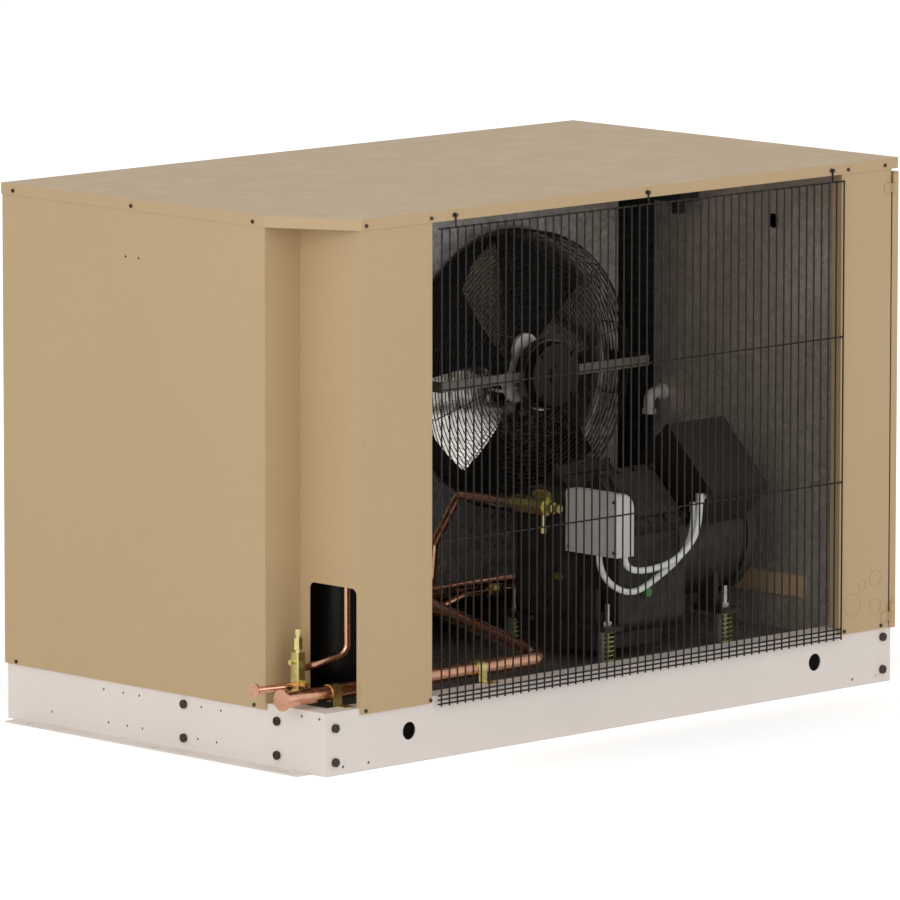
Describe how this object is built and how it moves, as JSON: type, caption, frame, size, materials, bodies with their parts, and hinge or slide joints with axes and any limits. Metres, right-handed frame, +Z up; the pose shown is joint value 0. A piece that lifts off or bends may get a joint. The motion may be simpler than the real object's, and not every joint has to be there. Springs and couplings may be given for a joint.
{
  "type": "air-cooled refrigeration condensing unit",
  "caption": "Outdoor refrigeration condensing unit: sheet-metal cabinet on a folded base, coil, shrouded fan, semi-hermetic compressor behind a wire guard, hinged control door.",
  "frame": {"origin": "centre of the base's footprint, at the underside of its flanges, which is the centre of the anchor slots", "axes": "+X along the unit towards the control door, +Y from the guarded front to the coil at the rear, +Z up"},
  "size_m": [1.964, 1.098, 1.252],
  "materials": {
    "base_paint": "pale baked paint, slightly pink, satin",
    "cabinet_paint": "tan powder coat, satin",
    "galvanised": "galvanised sheet with a fine spangle",
    "dark_steel": "dark phosphated bolts",
    "zinc_steel": "zinc plated",
    "black_enamel": "black enamel over a casting, semi-gloss",
    "wire_coating": "dark coated wire",
    "cast_aluminium": "die cast, fine grain",
    "blade_aluminium": "mill finish sheet",
    "fin_aluminium": "close fins, dark between them",
    "copper": "copper tube, drawn and slightly tarnished",
    "brass": "machined brass",
    "rubber": "black sponge rubber",
    "grey_plastic": "moulded, light grey",
    "black_plastic": "moulded, black",
    "white_conduit": "flexible conduit, white",
    "spring_steel": "yellow passivated spring wire"
  },
  "bodies": {
    "cabinet": {"base_bolts": "dark_steel", "base_cross_members": "base_paint", "base_deck": "galvanised", "base_front_rail": "base_paint", "base_left_rail": "base_paint", "base_rear_rail": "base_paint", "base_right_rail": "base_paint", "cabinet_screws": "dark_steel", "coil_end_plates": "galvanised", "coil_fins": "fin_aluminium", "coil_tubes": "copper", "compressor_body": "black_enamel", "compressor_bolts": "black_enamel", "compressor_end_covers": "black_enamel", "compressor_fittings": "brass", "conduit_elbow": "grey_plastic", "control_gear": "black_plastic", "control_partition": "galvanised", "control_plate": "galvanised", "corner_panel": "cabinet_paint", "cylinder_heads": "black_enamel", "discharge_line": "copper", "door_gasket": "rubber", "door_hinge_pins": "cabinet_paint", "fan_guard": "wire_coating", "fan_motor": "black_enamel", "fan_motor_cover": "black_enamel", "fan_mount": "galvanised", "fan_shroud": "galvanised", "fan_venturi": "galvanised", "left_panel": "cabinet_paint", "line_sight_glass": "brass", "liquid_line": "copper", "liquid_valves": "brass", "lower_conduit": "white_conduit", "module_box": "grey_plastic", "mount_springs": "spring_steel", "mount_studs": "zinc_steel", "oil_line": "copper", "partition_strip": "cabinet_paint", "pipe_clamps": "zinc_steel", "pressure_switch": "black_plastic", "receiver": "black_enamel", "right_front_pier": "cabinet_paint", "right_posts": "cabinet_paint", "shipping_spacers": "galvanised", "shroud_supports": "galvanised", "suction_line": "copper", "terminal_box": "black_enamel", "terminal_box_lid": "black_plastic", "top_cap": "cabinet_paint", "upper_conduit": "white_conduit", "wire_guard": "wire_coating"},
    "fan": {"fan_shaft": "dark_steel", "fan_hub": "cast_aluminium", "fan_blades": "blade_aluminium"},
    "door": {"control_door": "cabinet_paint", "door_hinge_leaves": "cabinet_paint"},
    "latch": {"door_latch": "zinc_steel"},
    "valve_stem": {"liquid_valve_stem": "brass"}
  },
  "joints": [
    {"name": "fan_spin", "type": "hinge", "parent": "cabinet", "child": "fan", "pos_m": [0.25, 0.0205, 0.752], "axis": [0, -1, 0], "continuous": true},
    {"name": "control_door_hinge", "type": "hinge", "parent": "cabinet", "child": "door", "pos_m": [0.918, -0.547, 0.682], "axis": [0, 0, -1], "range_deg": [0, 110]},
    {"name": "latch_turn", "type": "hinge", "parent": "door", "child": "latch", "pos_m": [0.936, 0.0415, 0.67], "axis": [-1, 0, 0], "range_deg": [0, 90]},
    {"name": "liquid_valve_stem_turn", "type": "hinge", "parent": "cabinet", "child": "valve_stem", "pos_m": [-0.874, -0.3905, 0.262], "axis": [0, 0, 1], "range_deg": [0, 1080]}
  ]
}
